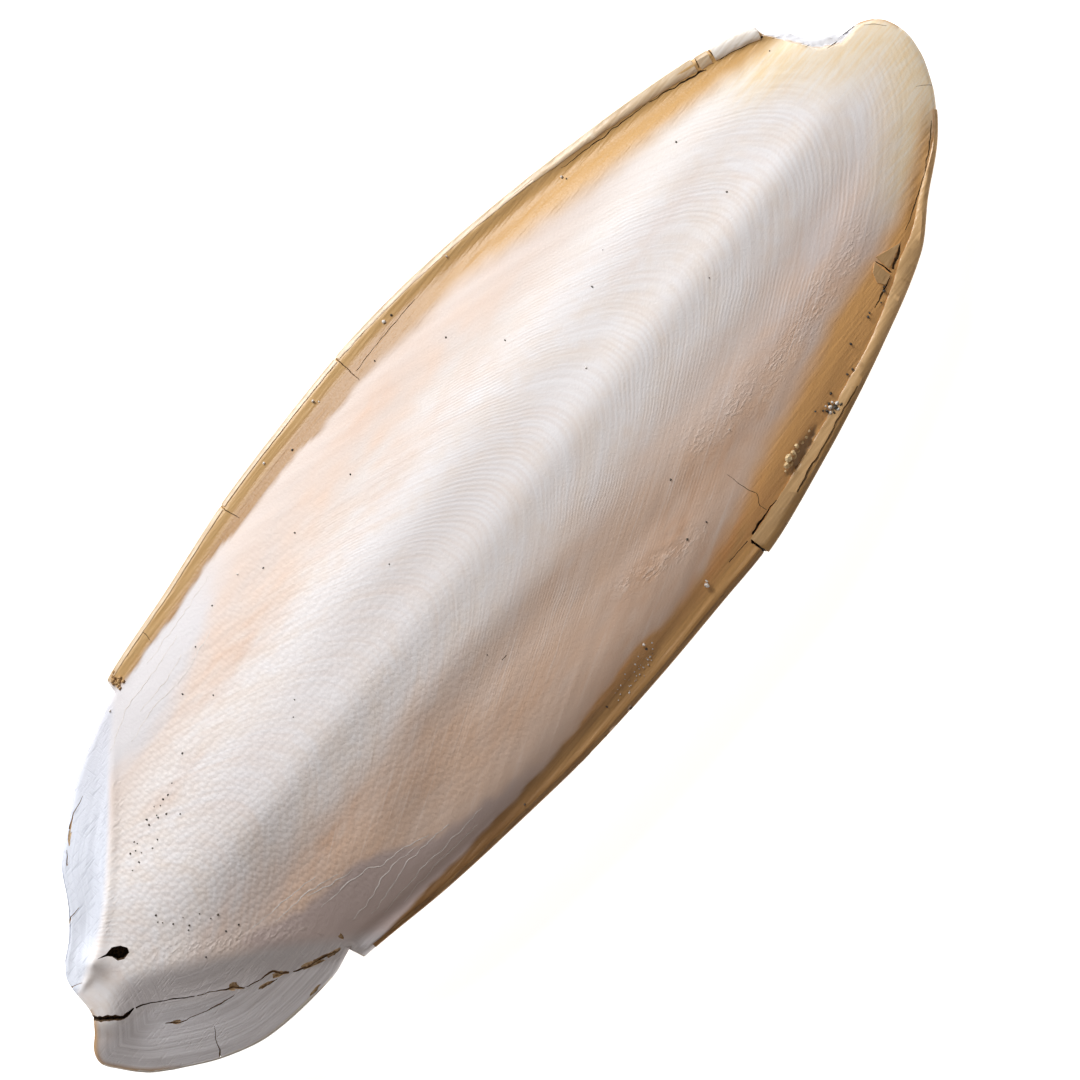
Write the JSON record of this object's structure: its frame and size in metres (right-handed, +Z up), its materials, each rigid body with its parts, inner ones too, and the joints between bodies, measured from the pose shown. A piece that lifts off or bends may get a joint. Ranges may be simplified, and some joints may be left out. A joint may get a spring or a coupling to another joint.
{
  "type": "cuttlebone",
  "caption": "Dry cuttlebone lying belly down: long leaf-shaped chalky shell with a domed back, horny margins and a broken tail.",
  "frame": {"origin": "middle of the bottom of the box around the bone, on the surface that the belly rests on", "axes": "+X from the tail to the broad front end along the middle line, +Y to the bone's left margin, +Z up out of the back"},
  "size_m": [0.16, 0.0556, 0.0194],
  "materials": {
    "chalky_shell": "matte chalky white shell with tan horny margins"
  },
  "bodies": {
    "root": {"cuttlebone": "chalky_shell"}
  },
  "joints": []
}
